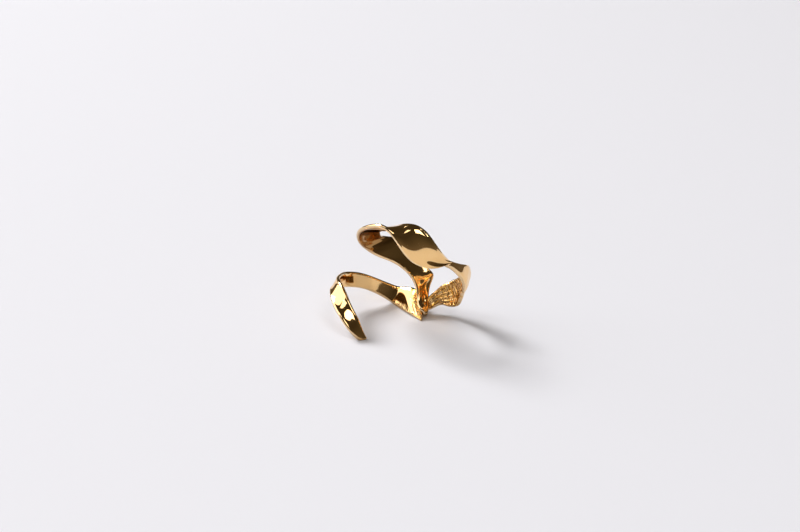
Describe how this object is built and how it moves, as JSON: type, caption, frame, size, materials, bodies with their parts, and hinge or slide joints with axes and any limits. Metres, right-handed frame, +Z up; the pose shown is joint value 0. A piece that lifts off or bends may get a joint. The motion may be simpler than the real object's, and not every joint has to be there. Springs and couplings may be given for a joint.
{
  "type": "finger ring",
  "caption": "Free-form ribbon finger ring in polished yellow gold: a folded sheet band that loops round the finger and trails into a tail it rests on.",
  "frame": {"origin": "middle of the footprint at floor height, the ring lying as it rests on its tail", "axes": "+Z up from the floor, +X towards the cupped end of the loop, +Y away from the foot of the tail towards the back band"},
  "size_m": [0.0262, 0.0208, 0.0218],
  "materials": {
    "gold": "mirror-polished yellow gold"
  },
  "bodies": {
    "root": {"ribbon": "gold"}
  },
  "joints": []
}
